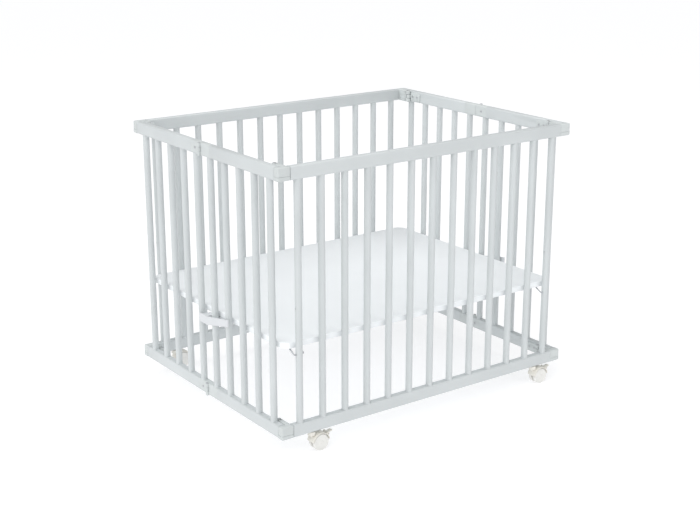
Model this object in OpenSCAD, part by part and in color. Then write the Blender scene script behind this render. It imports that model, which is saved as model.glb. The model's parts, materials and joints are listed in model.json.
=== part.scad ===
// Folding slatted playpen on castors.
// Two long sides stay whole. Each short end is two halves, hinged to the long
// sides at the corners and to each other at the middle, and folds inwards.
// A two-leaf floor rests on wire hooks in the corner bars.
// The origin is on the ground, under the middle of the pen.

/* [Overall] */
// Length over the long rails
pen_length = 960; // [850:5:1200]
// Depth over the long rails
pen_depth = 742; // [640:2:900]
// Height of the top of the rails above the ground
pen_height = 753; // [650:1:950]
// Height of the underside of the bottom rails above the ground
ground_gap = 55; // [54:1:90]

/* [Rails] */
// Thickness of every rail
rail_w = 20; // [18:1:30]
// Height of every rail
rail_h = 34; // [28:1:50]
// Rounding of the rails' long edges
rail_round = 4; // [1:0.5:6]

/* [Bars] */
// Diameter of the round bars
bar_d = 18; // [12:1:18]
// Bars in each long side
side_bars = 13; // [9:1:15]
// Distance between bar centres in the long sides
side_pitch = 70; // [62:1:72]
// Bars in each half of an end
half_bars = 5; // [4:1:5]
// Distance between bar centres in the ends
end_pitch = 70.5; // [62:0.5:71]
// Depth of a bar's end in its rail
bar_seat = 11; // [8:1:12]

/* [Floor] */
// Height of the floor's upper face
floor_top = 301; // [220:1:420]
// Thickness of the floor leaves
floor_t = 15; // [9:1:18]
// Gap between a floor leaf and the bars around it
floor_gap = 4; // [2:0.5:10]
// Gap between the two leaves along the middle
leaf_gap = 1; // [0.5:0.5:4]
// Length cut off each outer corner of the floor
floor_corner_cut = 16; // [8:1:30]
// Depth of the holes for the hooks below the floor
hook_drop = 14; // [9:1:24]
// Distance between the lower and the upper hook holes
hook_hole_step = 120; // [60:5:160]
// Diameter of the hook wire
wire_d = 4; // [3:0.5:5]
// Radial clearance of the wire in its hole
wire_fit = 0.1; // [0.05:0.05:0.3]
// Length of hook that lies under the floor
hook_reach = 32; // [24:1:33]
// Length of the yoke's outer arm, from the pen's middle towards the front
yoke_arm = 124; // [60:2:130]
// Rise of the arm's end above the level part of the yoke
yoke_rise = 20; // [0:1:24]
// Width of the yoke's inner plate, along the bars of the front half
yoke_inner_w = 100; // [60:2:110]
// Height of the yoke
yoke_h = 24; // [18:1:26]
// Length of the yoke's arm under the floor
yoke_reach = 74; // [50:2:120]
// Thickness of the yoke's plates
yoke_t = 5; // [3:0.5:6]

/* [Corner hinges] */
// Length of the plastic cap on each end of a long rail
cap_l = 36; // [36:1:48]
// Distance of the pivot from the inner face of the long rail
pivot_in = 39; // [38:1:60]
// Distance of the pivot from the inner face of the end rail
pivot_off = 7; // [7:0.5:10]
// Outer diameter of the corner knuckles
corner_knuckle_d = 12; // [11:0.5:13]
// Diameter of every hinge pin
pin_d = 5; // [4:0.5:6]
// Length of the hinge plate along the end rail
plate_l = 44; // [36:1:60]
// Thickness of the hinge plate
plate_t = 3.5; // [3:0.5:5]

/* [Middle hinges] */
// Length of the plastic block on the end of each half rail
block_l = 47; // [46:1:60]
// Distance of the middle pivot outside the end rail's outer face
middle_out = 2; // [2:0.5:4]
// Outer diameter of the middle knuckles
middle_knuckle_d = 9; // [8.5:0.5:11]

/* [Castors] */
// Distance of each castor stem from the end of its rail
castor_inset = 95; // [80:5:160]
// Diameter of the castor wheels
wheel_d = 44; // [38:1:46]
// Width of one wheel of a twin
wheel_w = 10; // [8:1:12]
// Horizontal distance from the stem to the axle
trail = 22; // [18:1:28]
// Diameter of the castor stem
stem_d = 8; // [6:1:10]
// Length of stem that goes up into the rail
stem_seat = 24; // [16:1:26]
// Diameter of the wheels' axle
axle_d = 5; // [4:0.5:6]

/* [Clearances] */
// Radial clearance where a pin turns in a knuckle
pin_fit = 0.05; // [0.03:0.01:0.1]
// Radial clearance at the pivot that closes the folding loop
loop_fit = 0.1; // [0.05:0.05:0.3]
// Gap between two knuckles, or a rail's end and what it faces
joint_gap = 0.5; // [0.3:0.1:1]

/* [Hidden] */
$fn = 48;
PAINT = [0.80, 0.84, 0.83];
PLASTIC = [0.82, 0.83, 0.82];
WHITE = [0.94, 0.95, 0.97];
STEEL = [0.62, 0.63, 0.65];
CREAM = [0.93, 0.92, 0.88];

half_length = pen_length / 2;
half_depth = pen_depth / 2;
top_rail_z = pen_height - rail_h;
side_y = half_depth - rail_w / 2;
side_inner = half_depth - rail_w;
end_recess = 1;
end_outer = half_length - end_recess;
end_inner = end_outer - rail_w;
end_x = end_outer - rail_w / 2;
bar_z0 = ground_gap + rail_h - bar_seat;
bar_z1 = top_rail_z + bar_seat;
corner_bar_x = (side_bars - 1) / 2 * side_pitch;

pivot_x = end_inner - pivot_off;
pivot_y = side_inner - pivot_in;
middle_x = end_outer + middle_out;
knuckle_h = (rail_h - 4 * joint_gap) / 3;
cap_end_x = min(half_length - cap_l, pivot_x - corner_knuckle_d / 2);
cap_span = half_length - cap_end_x;

floor_x = end_x - bar_d / 2 - floor_gap;
floor_y = side_y - bar_d / 2 - floor_gap;
floor_under = floor_top - floor_t;
hook_z = floor_under - hook_drop;
wire_gap = 0.3;
wire_top_z = floor_under - wire_d / 2 - wire_gap;
wire_side = 5;
bend_d = wire_d + 0.5;
hook_x = bar_d / 2 + wire_side;
hook_in = 10;
clip_t = 6;
clip_w = 18;
clip_l = 11;
clip_y = floor_y - 24;
yoke_neck_w = 24;
yoke_bar_gap = 1;
yoke_plate_in = 1;
yoke_shoulder = 6;
yoke_arm_h = yoke_h * 0.8;

castor_x = half_length - castor_inset;
axle_z = wheel_d / 2;
web_t = 8;
wheel_gap = 0.6;
wheel_y0 = web_t / 2 + wheel_gap;
wheels_w = 2 * (wheel_y0 + wheel_w);
hood_gap = 2;
hood_t = 2.5;
hood_w = wheels_w + 1;
hood_foot = 4;
hood_r = wheel_d / 2 + hood_gap;
boss_d = 20;
boss_gap = 1;
boss_top = ground_gap - boss_gap;
boss_foot = axle_z + wheel_d / 2 + boss_gap;
hub_wall = 4;
hub_slope = 39;
lever_w = 14;
lever_d = 5;
lever_l = 17;
lever_t = 3;
paddle_w = lever_w - 1;
lever_rise = 12;
lever_pin_d = 2.4;
lug_t = 3;
lug_wall = 1.5;
brake_a = 38;
brake_r = hood_r + hood_t + lever_d / 2 + joint_gap;

cap_screw_z = 21;
cap_groove = 1;
plate_screw_y = [13, 33];
tenon_w = 11;
tenon_l = 30;
tenon_gap = 1;
block_screw_in = 8;
block_screw_l = rail_w - 4;
screw_head_d = 7;
screw_head_h = 1.6;
screw_d = 3.5;
screw_l = 12;

// A rectangle with true round corners, standing on the X axis
module rounded_section(w, h, r) {
    translate([-w / 2 + r, 0]) square([w - 2 * r, h]);
    translate([-w / 2, r]) square([w, h - 2 * r]);
    for (x = [-w / 2 + r, w / 2 - r], y = [r, h - r]) translate([x, y]) circle(r);
}

// A rail along X from x0 to x1, on the plane y = 0
module rail_along_x(x0, x1) {
    translate([x0, 0, 0]) rotate([90, 0, 90])
        linear_extrude(x1 - x0) rounded_section(rail_w, rail_h, rail_round);
}

// A rail along Y from y0 to y1, on the plane x = 0
module rail_along_y(y0, y1) {
    translate([0, y1, 0]) rotate([90, 0, 0])
        linear_extrude(y1 - y0) rounded_section(rail_w, rail_h, rail_round);
}

// A bar from socket to socket, which is also the tool that cuts its sockets
module bar() {
    translate([0, 0, bar_z0]) cylinder(h = bar_z1 - bar_z0, d = bar_d);
}

// Leaves a front part where it is, or mirrors it to the back side
module at_side(back) {
    mirror([0, back ? 1 : 0, 0]) children();
}

// Moves a part that is drawn for the front left to any of the four corners
module at_half(right, back) {
    mirror([right ? 1 : 0, 0, 0]) mirror([0, back ? 1 : 0, 0]) children();
}

module both_ends() {
    children();
    mirror([1, 0, 0]) children();
}

module at_rails() {
    for (z = [ground_gap, top_rail_z]) translate([0, 0, z]) children();
}

// ---------- long sides ----------

module side_bar_row(first, last) {
    for (i = [first:last])
        translate([(i - (side_bars - 1) / 2) * side_pitch, -side_y, 0]) bar();
}

module side_rail(z) {
    color(PAINT) difference() {
        translate([0, -side_y, z]) rail_along_x(-cap_end_x, cap_end_x);
        side_bar_row(0, side_bars - 1);
        translate([0, 0, z]) both_ends() cap_screw();
        if (z < top_rail_z) castor_stem_pair();
    }
}

module side_bars_inner() {
    color(PAINT) side_bar_row(1, side_bars - 2);
}

module side_corner_bars() {
    color(PAINT) both_ends() difference() {
        translate([-corner_bar_x, -side_y, 0]) bar();
        for (z = [hook_z, hook_z + hook_hole_step])
            translate([-corner_bar_x - bar_d, -side_y, z]) rotate([0, 90, 0])
                cylinder(h = 2 * bar_d, d = wire_d + 2 * wire_fit);
    }
}

// ---------- corner hinges ----------

module pin_hole(r, h) {
    translate([0, 0, -1]) cylinder(h = h + 2, r = r);
}

// Screw along +X from x = 0, with its head flush at x = 0
module long_screw(length) {
    rotate([0, 90, 0]) cylinder(h = screw_head_h, d = screw_head_d);
    rotate([0, 90, 0]) cylinder(h = length, d = screw_d);
}

module cap_screw() {
    translate([-half_length, -side_y, cap_screw_z]) long_screw(cap_span + screw_l);
}

// Cap on the rail's end, with an arm inwards to two knuckles
module corner_fitting() {
    arm_x = end_inner - joint_gap;
    arm_w = arm_x - pivot_x + corner_knuckle_d / 2;
    difference() {
        union() {
            translate([0, -side_y, 0]) rail_along_x(-half_length, -cap_end_x);
            translate([-arm_x, -side_y, 0]) cube([arm_w, rail_w / 2 + pivot_in, rail_h]);
            translate([-pivot_x, -pivot_y, 0]) cylinder(h = rail_h, d = corner_knuckle_d);
        }
        translate([-pivot_x, -pivot_y, knuckle_h + joint_gap])
            cylinder(h = knuckle_h + 2 * joint_gap, d = corner_knuckle_d + 2 * joint_gap);
        translate([-pivot_x, -pivot_y, 0]) pin_hole(pin_d / 2, rail_h);
        translate([-half_length, -half_depth, knuckle_h]) {
            translate([-1, -1, 0]) cube([cap_span + 1, 1 + cap_groove, cap_groove]);
            translate([-1, -1, 0]) cube([1 + cap_groove, rail_w + 1, cap_groove]);
        }
        cap_screw();
    }
}

module corner_fittings() {
    color(PLASTIC) at_rails() both_ends() corner_fitting();
}

module fitting_screws() {
    color(STEEL) at_rails() both_ends() cap_screw();
}

module corner_pins() {
    color(STEEL) at_rails() both_ends()
        translate([-pivot_x, -pivot_y, 0]) cylinder(h = rail_h, d = pin_d);
}

// The two screws of a corner hinge plate, from its inner face into the rail
module plate_screws() {
    for (y = plate_screw_y)
        translate([-end_inner + plate_t, -pivot_y + corner_knuckle_d / 2 + y, rail_h / 2])
            mirror([1, 0, 0]) long_screw(plate_t + screw_l);
}

// Plate on the end rail's inner face, with one knuckle between the cap's two
module corner_hinge(fit) {
    plate_y = -pivot_y + corner_knuckle_d / 2 + joint_gap;
    mid_z = knuckle_h + 2 * joint_gap;
    difference() {
        union() {
            translate([-end_inner, plate_y, rail_round])
                cube([plate_t, plate_l, rail_h - 2 * rail_round]);
            translate([-end_inner, -pivot_y + 1, mid_z])
                cube([plate_t, corner_knuckle_d / 2 + joint_gap, knuckle_h]);
            translate([-pivot_x, -pivot_y, mid_z]) cylinder(h = knuckle_h, d = corner_knuckle_d);
        }
        translate([-pivot_x, -pivot_y, 0]) pin_hole(pin_d / 2 + fit, rail_h);
        plate_screws();
    }
}

module corner_hinges(right, back) {
    fit = right && back ? loop_fit : pin_fit;
    color(PLASTIC) at_half(right, back) at_rails() corner_hinge(fit);
}

// ---------- end halves ----------

module half_bar_row() {
    for (i = [0:half_bars - 1])
        translate([-end_x, -(i + 0.5) * end_pitch, 0]) bar();
}

// Tenon of a half rail in its middle block, between the bar sockets
module tenon() {
    translate([-end_x - tenon_w / 2, -block_l - 1, bar_seat + tenon_gap])
        cube([tenon_w, tenon_l + 1, rail_h - 2 * (bar_seat + tenon_gap)]);
}

// Screw of a middle block, driven from outside, or from inside on the front halves
module block_screw(from_inside) {
    translate([-end_x, -block_l + tenon_l - block_screw_in, rail_h / 2])
        mirror([from_inside ? 1 : 0, 0, 0]) translate([-rail_w / 2, 0, 0])
            long_screw(block_screw_l);
}

module half_rail(right, back, z) {
    color(PAINT) at_half(right, back) difference() {
        translate([0, 0, z]) union() {
            translate([-end_x, 0, 0]) rail_along_y(-side_inner + joint_gap, -block_l);
            tenon();
        }
        half_bar_row();
        translate([0, 0, z]) plate_screws();
        translate([0, 0, z]) block_screw(!back);
    }
}

module half_bars_set(right, back) {
    color(PAINT) at_half(right, back) half_bar_row();
}

module half_screws(right, back) {
    color(STEEL) at_half(right, back) at_rails() {
        plate_screws();
        block_screw(!back);
    }
}

// ---------- middle hinges ----------

// Plastic block that ends a half rail, with knuckles at its outer face.
// The front half has the outer two knuckles and the back half the middle one.
module middle_block(outer_pair) {
    mid_z = knuckle_h + joint_gap;
    mid_h = knuckle_h + 2 * joint_gap;
    swept = middle_knuckle_d / 2 + joint_gap;
    difference() {
        union() {
            translate([-end_x, 0, 0]) rail_along_y(-block_l, -joint_gap);
            translate([-middle_x, 0, 0]) cylinder(h = rail_h, d = middle_knuckle_d);
        }
        if (outer_pair) {
            translate([-middle_x, 0, mid_z]) cylinder(h = mid_h, r = swept);
        } else {
            translate([-middle_x, 0, -1]) cylinder(h = mid_z + joint_gap + 1, r = swept);
            translate([-middle_x, 0, mid_z + mid_h - joint_gap])
                cylinder(h = mid_z + joint_gap + 1, r = swept);
        }
        translate([-middle_x, 0, 0]) pin_hole(pin_d / 2 + (outer_pair ? 0 : pin_fit), rail_h);
        tenon();
        block_screw(outer_pair);
    }
}

module middle_hinges(right, back) {
    color(PLASTIC) at_half(right, back) difference() {
        at_rails() middle_block(!back);
        half_bar_row();
    }
}

module middle_pins(right) {
    color(STEEL) at_half(right, false) at_rails()
        translate([-middle_x, 0, 0]) cylinder(h = rail_h, d = pin_d);
}

// ---------- floor ----------

// Runs the children under both outer corners of the front leaf
module at_floor_corners() {
    both_ends() translate([-corner_bar_x, 0, 0]) children();
}

module floor_leaf() {
    color(WHITE) translate([0, 0, floor_under]) linear_extrude(floor_t) polygon([
        [-floor_x, -leaf_gap / 2], [-floor_x, -floor_y + floor_corner_cut],
        [-floor_x + floor_corner_cut, -floor_y], [floor_x - floor_corner_cut, -floor_y],
        [floor_x, -floor_y + floor_corner_cut], [floor_x, -leaf_gap / 2]
    ]);
}

// Bracket under the front leaf at the middle of each end. Its outer arm lies
// across the middle bars, rises towards the front and keeps the end straight.
module floor_yoke() {
    plate_y = end_pitch / 2 - bar_d / 2 + yoke_plate_in;
    neck_y = -yoke_neck_w / 2 - yoke_shoulder;
    outer_x = end_x + bar_d / 2 + yoke_bar_gap;
    inner_x = end_x - bar_d / 2 - 2 * yoke_bar_gap;
    translate([0, 0, floor_under - yoke_h]) {
        translate([-outer_x - yoke_t, 0, 0]) rotate([90, 0, 90]) linear_extrude(yoke_t)
            polygon([
                [plate_y, 0], [plate_y, yoke_h], [neck_y, yoke_h],
                [-yoke_arm, yoke_h + yoke_rise], [-yoke_arm, yoke_h + yoke_rise - yoke_arm_h],
                [neck_y, 0]
            ]);
        translate([-outer_x - 1, -yoke_neck_w / 2, 0])
            cube([outer_x - inner_x + 2, yoke_neck_w, yoke_h]);
        translate([-inner_x, -yoke_inner_w, 0])
            cube([yoke_t, yoke_inner_w - leaf_gap / 2, yoke_h]);
        translate([-inner_x, -yoke_neck_w / 2, 0]) cube([yoke_reach, yoke_t, yoke_h]);
    }
}

module floor_yoke_pair() {
    color(WHITE) both_ends() floor_yoke();
}

// Two ribs under the floor that hold each leg of a hook between them
module floor_clips() {
    color(WHITE) at_floor_corners() both_ends() difference() {
        translate([hook_x - clip_w / 2, -clip_y, floor_under - clip_t])
            cube([clip_w, clip_l, clip_t]);
        translate([hook_x - wire_d / 2 - wire_gap, -clip_y - 1, floor_under - clip_t - 1])
            cube([wire_d + 2 * wire_gap, clip_l + 2, clip_t + 1]);
    }
}

// A straight length of wire between two points
module wire(a, b) {
    d = b - a;
    translate(a) rotate([0, acos(d[2] / norm(d)), atan2(d[1], d[0])])
        cylinder(h = norm(d), d = wire_d);
}

// Bail through the hole in a corner bar. A leg on each side of the bar rises to
// the floor's underside, where a cross piece joins the two.
module floor_hook() {
    foot = [hook_x, -side_y, hook_z];
    bend = [hook_x, -floor_y + hook_in, wire_top_z];
    end = [hook_x, -floor_y + hook_in + hook_reach - wire_d / 2, wire_top_z];
    for (p = [foot, end]) wire([-p[0], p[1], p[2]], p);
    both_ends() {
        wire(foot, bend);
        wire(bend, end);
        for (p = [foot, bend, end]) translate(p) sphere(d = bend_d);
    }
}

module floor_hooks() {
    color(STEEL) at_floor_corners() floor_hook();
}

// ---------- castors ----------

// Runs the children at one castor's stem, its wheels trailing towards +X
module at_castor(right, back) {
    translate([right ? castor_x : -castor_x, back ? side_y : -side_y, 0]) children();
}

module castor_stem_pair() {
    for (x = [-castor_x, castor_x]) translate([x, -side_y, boss_foot])
        cylinder(h = ground_gap + stem_seat - boss_foot, d = stem_d);
}

module castor_stems() {
    color(STEEL) castor_stem_pair();
}

module at_brake_pivot() {
    translate([trail + brake_r * cos(brake_a), 0, axle_z + brake_r * sin(brake_a)]) children();
}

// A cylinder along Y, centred on the origin
module along_y(length, d) {
    rotate([90, 0, 0]) translate([0, 0, -length / 2]) cylinder(h = length, d = d);
}

// Curved guard over both wheels, open below
module castor_hood() {
    reach = hood_r + hood_t + 1;
    rotate([90, 0, 0]) translate([0, 0, -hood_w / 2]) linear_extrude(hood_w) difference() {
        circle(r = hood_r + hood_t);
        circle(r = hood_r);
        translate([-reach, -reach]) square([2 * reach, reach + hood_foot]);
    }
}

// Wall between the wheels, from the axle up to the boss
module castor_web() {
    hub_r = axle_d / 2 + hub_wall;
    boss_z = boss_foot + lug_t - axle_z;
    rotate([90, 0, 0]) translate([0, 0, -web_t / 2]) linear_extrude(web_t) {
        circle(r = hub_r);
        polygon([
            -[cos(hub_slope), sin(hub_slope)] * hub_r, [cos(hub_slope), sin(hub_slope)] * hub_r,
            [boss_d / 2 - 1 - trail, boss_z], [1 - boss_d / 2 - trail, boss_z]
        ]);
    }
}

module brake_lugs() {
    at_brake_pivot() difference() {
        for (s = [-1, 1]) translate([0, s * ((lever_w + lug_t) / 2 + joint_gap), 0])
            along_y(lug_t, lever_d + 2 * lug_wall);
        along_y(lever_w + 4 * lug_t, lever_pin_d + 2 * pin_fit);
    }
}

module castor_housing(right, back, brake) {
    color(CREAM) at_castor(right, back) difference() {
        union() {
            translate([0, 0, boss_foot]) cylinder(h = boss_top - boss_foot, d = boss_d);
            translate([trail, 0, axle_z]) castor_hood();
            translate([trail, 0, axle_z]) castor_web();
            if (brake) brake_lugs();
        }
        translate([0, 0, boss_foot - boss_gap]) cylinder(h = boss_top, d = stem_d + 2 * pin_fit);
        translate([trail, 0, axle_z]) along_y(hood_w, axle_d + 2 * pin_fit);
    }
}

module castor_wheels(right, back) {
    color(WHITE) at_castor(right, back) translate([trail, 0, axle_z]) {
        for (s = [-1, 1]) translate([0, s * (wheel_y0 + wheel_w / 2), 0]) along_y(wheel_w, wheel_d);
        along_y(wheels_w - 2, axle_d);
    }
}

module brake_lever(right) {
    color(CREAM) at_castor(right, false) at_brake_pivot() {
        along_y(lever_w, lever_d);
        along_y(lever_w + 2 * (joint_gap + lug_t), lever_pin_d);
        rotate([0, -lever_rise, 0]) translate([0, -paddle_w / 2, -lever_t / 2])
            cube([lever_l, paddle_w, lever_t]);
    }
}

side_rail(top_rail_z);  // front_top_rail
side_rail(ground_gap);  // front_bottom_rail
side_bars_inner();  // front_bars
side_corner_bars();  // front_corner_bars
at_side(true) side_rail(top_rail_z);  // back_top_rail
at_side(true) side_rail(ground_gap);  // back_bottom_rail
at_side(true) side_bars_inner();  // back_bars
at_side(true) side_corner_bars();  // back_corner_bars
half_rail(false, false, top_rail_z);  // left_front_top_rail
half_rail(false, false, ground_gap);  // left_front_bottom_rail
half_bars_set(false, false);  // left_front_bars
half_rail(false, true, top_rail_z);  // left_back_top_rail
half_rail(false, true, ground_gap);  // left_back_bottom_rail
half_bars_set(false, true);  // left_back_bars
half_rail(true, false, top_rail_z);  // right_front_top_rail
half_rail(true, false, ground_gap);  // right_front_bottom_rail
half_bars_set(true, false);  // right_front_bars
half_rail(true, true, top_rail_z);  // right_back_top_rail
half_rail(true, true, ground_gap);  // right_back_bottom_rail
half_bars_set(true, true);  // right_back_bars
corner_fittings();  // front_corner_fittings
at_side(true) corner_fittings();  // back_corner_fittings
corner_hinges(false, false);  // left_front_corner_hinges
corner_hinges(false, true);  // left_back_corner_hinges
corner_hinges(true, false);  // right_front_corner_hinges
corner_hinges(true, true);  // right_back_corner_hinges
corner_pins();  // front_corner_pins
at_side(true) corner_pins();  // back_corner_pins
middle_hinges(false, false);  // left_front_middle_hinges
middle_hinges(false, true);  // left_back_middle_hinges
middle_hinges(true, false);  // right_front_middle_hinges
middle_hinges(true, true);  // right_back_middle_hinges
middle_pins(false);  // left_middle_pins
middle_pins(true);  // right_middle_pins
fitting_screws();  // front_fitting_screws
at_side(true) fitting_screws();  // back_fitting_screws
half_screws(false, false);  // left_front_hinge_screws
half_screws(false, true);  // left_back_hinge_screws
half_screws(true, false);  // right_front_hinge_screws
half_screws(true, true);  // right_back_hinge_screws
floor_leaf();  // front_floor_leaf
at_side(true) floor_leaf();  // back_floor_leaf
floor_yoke_pair();  // floor_yokes
floor_clips();  // front_floor_clips
at_side(true) floor_clips();  // back_floor_clips
floor_hooks();  // front_floor_hooks
at_side(true) floor_hooks();  // back_floor_hooks
castor_stems();  // front_castor_stems
at_side(true) castor_stems();  // back_castor_stems
castor_housing(false, false, true);  // front_left_castor_housing
castor_housing(true, false, true);  // front_right_castor_housing
castor_housing(false, true, false);  // back_left_castor_housing
castor_housing(true, true, false);  // back_right_castor_housing
castor_wheels(false, false);  // front_left_castor_wheels
castor_wheels(true, false);  // front_right_castor_wheels
castor_wheels(false, true);  // back_left_castor_wheels
castor_wheels(true, true);  // back_right_castor_wheels
brake_lever(false);  // front_left_brake_lever
brake_lever(true);  // front_right_brake_lever
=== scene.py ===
# %% [markdown]
# # A folding slatted playpen
#
# The pen is painted wood: rails with rounded edges and rows of round bars. The
# corners and the middles of the short ends are moulded plastic hinges, a white
# board in two leaves makes the floor, and four small castors carry it all.
#
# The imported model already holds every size, place and joint. This script gives
# each piece the shape that the eye sees: rounded edges, moulded steps, screw
# heads, bent wire, wheels. So nearly every measure below is read from the frame,
# and only the small ones, such as an edge's rounding, are chosen here.

# %% Load the frame
import json
import math

import bmesh
import bpy
from mathutils import Matrix, Vector


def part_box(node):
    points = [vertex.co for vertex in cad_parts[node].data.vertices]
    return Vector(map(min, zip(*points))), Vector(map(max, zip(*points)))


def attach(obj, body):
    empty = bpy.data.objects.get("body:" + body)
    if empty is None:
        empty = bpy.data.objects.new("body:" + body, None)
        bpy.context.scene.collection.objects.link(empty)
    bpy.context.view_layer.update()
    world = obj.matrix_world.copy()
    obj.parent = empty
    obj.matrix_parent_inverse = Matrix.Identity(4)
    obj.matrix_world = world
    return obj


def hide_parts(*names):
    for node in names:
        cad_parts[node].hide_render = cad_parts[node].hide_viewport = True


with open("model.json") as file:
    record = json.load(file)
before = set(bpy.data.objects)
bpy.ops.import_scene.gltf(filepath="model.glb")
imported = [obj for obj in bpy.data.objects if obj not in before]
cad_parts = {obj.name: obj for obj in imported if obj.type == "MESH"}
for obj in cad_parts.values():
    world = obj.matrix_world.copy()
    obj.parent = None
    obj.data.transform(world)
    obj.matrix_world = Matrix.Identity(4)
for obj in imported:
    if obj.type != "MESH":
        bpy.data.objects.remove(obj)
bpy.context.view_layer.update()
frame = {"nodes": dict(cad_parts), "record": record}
scene = bpy.context.scene
MM = 0.001

# %% [markdown]
# ## Measures from the frame
#
# A rail's box gives the section that all rails share, and the boxes of the pins
# give the hinge axes. Asking the frame instead of typing numbers means that a
# changed model still gets pieces that fit.

# %% Read the sizes that many pieces share


def corners(node):
    """The lowest and highest corner of a node, as vectors."""
    low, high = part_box(node)
    return Vector(low), Vector(high)


rail_low, rail_high = corners("front_top_rail")
rail_h = rail_high.z - rail_low.z
rail_w = rail_high.y - rail_low.y
side_y = -(rail_low.y + rail_high.y) / 2
rail_tops = {"top": rail_high.z, "bottom": corners("front_bottom_rail")[1].z}

pins_low, pins_high = corners("front_corner_pins")
pin_r = (pins_high.y - pins_low.y) / 2
pivot_x = pins_high.x - pin_r
pivot_y = -(pins_low.y + pins_high.y) / 2

half_low, half_high = corners("left_front_top_rail")
end_outer = -half_low.x
end_inner = -half_high.x
print(f"rail {rail_w / MM:.1f} x {rail_h / MM:.1f} mm")
print(f"corner pivots at +-{pivot_x:.3f}, +-{pivot_y:.3f} m")

# %% Sizes of the caps and knuckles
caps_high = corners("front_corner_fittings")[1]
cap_outer = caps_high.x
cap_inner = rail_high.x
knuckle_r = caps_high.y + pivot_y
knuckle_gap = 0.5 * MM
knuckle_h = (rail_h - 4 * knuckle_gap) / 3
print(f"caps {(cap_outer - cap_inner) / MM:.1f} mm long, knuckles {knuckle_h / MM:.1f} mm high")

# %% [markdown]
# ## Small tools for bmesh
#
# Four shapes do most of the work: a box with rounded edges, a rod with rounded
# rims, a turned shape made by spinning an outline, and an outline pushed to a
# thickness. Each one adds itself to a bmesh, so a piece with many features is
# one mesh and not a pile of objects.

# %% Boxes and rods


def add_box(bm, low, high, radius=0.0, segments=3):
    """A box between two corners, its edges rounded to a radius."""
    low, high = Vector(low), Vector(high)
    place = Matrix.Translation((low + high) / 2) @ Matrix.Diagonal((*(high - low), 1))
    verts = bmesh.ops.create_cube(bm, size=1.0, matrix=place)["verts"]
    round_edges(bm, {e for v in verts for e in v.link_edges}, radius, segments)


def round_edges(bm, edges, radius, segments):
    """Rounds the given edges, unless the radius is zero."""
    if radius > 0:
        bmesh.ops.bevel(
            bm, geom=list(edges), offset=radius, offset_type="OFFSET", segments=segments,
            profile=0.5, affect="EDGES", clamp_overlap=True, material=-1,
        )


def add_rod(bm, start, end, radius, rim=0.0, sides=40, end_radius=None):
    """A rod or cone between two points, with both rims rounded."""
    start, end = Vector(start), Vector(end)
    along = end - start
    turn = Vector((0, 0, 1)).rotation_difference(along).to_matrix().to_4x4()
    verts = bmesh.ops.create_cone(
        bm, cap_ends=True, segments=sides, radius1=radius,
        radius2=radius if end_radius is None else end_radius,
        depth=along.length, matrix=Matrix.Translation((start + end) / 2) @ turn,
    )["verts"]
    caps = {f for v in verts for f in v.link_faces if len(f.verts) == sides}
    round_edges(bm, {e for f in caps for e in f.edges}, rim, 2)


# %% Turned and extruded shapes


def add_turned(bm, profile, centre, axis, steps=48):
    """Spins (radius, height) points round an axis. The outline starts and ends on it."""
    turn = Vector((0, 0, 1)).rotation_difference(Vector(axis)).to_matrix().to_4x4()
    place = Matrix.Translation(centre) @ turn
    verts = [bm.verts.new(place @ Vector((r, 0, h))) for r, h in profile]
    edges = [bm.edges.new(pair) for pair in zip(verts, verts[1:])]
    bmesh.ops.spin(
        bm, geom=verts + edges, cent=place.translation, axis=place.to_3x3() @ Vector((0, 0, 1)),
        angle=2 * math.pi, steps=steps, use_merge=True,
    )
    bmesh.ops.remove_doubles(bm, verts=bm.verts, dist=1e-6)


def join(bm, part, place=Matrix.Identity(4)):
    """Adds a finished bmesh to another one, moved to its place."""
    part.transform(place)
    mesh = bpy.data.meshes.new("part")
    part.to_mesh(mesh)
    part.free()
    bm.from_mesh(mesh)
    bpy.data.meshes.remove(mesh)


def rounded_outline(low, high, radius, steps=6):
    """The points of a rectangle whose corners are arcs."""
    points = []
    for quarter, (sx, sy) in enumerate([(1, 1), (-1, 1), (-1, -1), (1, -1)]):
        centre_x = (high[0] if sx > 0 else low[0]) - sx * radius
        centre_y = (high[1] if sy > 0 else low[1]) - sy * radius
        for i in range(steps + 1):
            turn = math.pi / 2 * (quarter + i / steps)
            points.append((centre_x + radius * math.cos(turn), centre_y + radius * math.sin(turn)))
    return points


def add_slab(bm, outline, thickness, place, edge=0.0, segments=2):
    """A flat outline pushed to a thickness, its rims rounded, then placed."""
    part = bmesh.new()
    face = part.faces.new([part.verts.new((x, y, 0)) for x, y in outline])
    pushed = bmesh.ops.extrude_face_region(part, geom=[face])["geom"]
    top = [v for v in pushed if isinstance(v, bmesh.types.BMVert)]
    bmesh.ops.translate(part, verts=top, vec=(0, 0, thickness))
    flat = [f for f in part.faces if abs(f.normal.z) > 0.9 or len(f.verts) > 4]
    round_edges(part, {e for f in flat for e in f.edges}, edge, segments)
    join(bm, part, place)


# Turn a flat outline so that it faces along X, or along Y
FACE_X = Matrix(((0, 0, 1, 0), (1, 0, 0, 0), (0, 1, 0, 0), (0, 0, 0, 1)))
FACE_Y = Matrix(((1, 0, 0, 0), (0, 0, -1, 0), (0, 1, 0, 0), (0, 0, 0, 1)))

# %% [markdown]
# Three shapes need more than one step. A groove is pressed in by slicing a piece
# at four heights and drawing the two inner slices together. Wire is a ring that is
# extruded along a path and turned at each step. A screw's head starts as a circle
# with a cross inside it: the space between them is filled, and the cross is pushed
# down, so the recess is real and catches a shadow.

# %% Grooves, wire and screws


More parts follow.
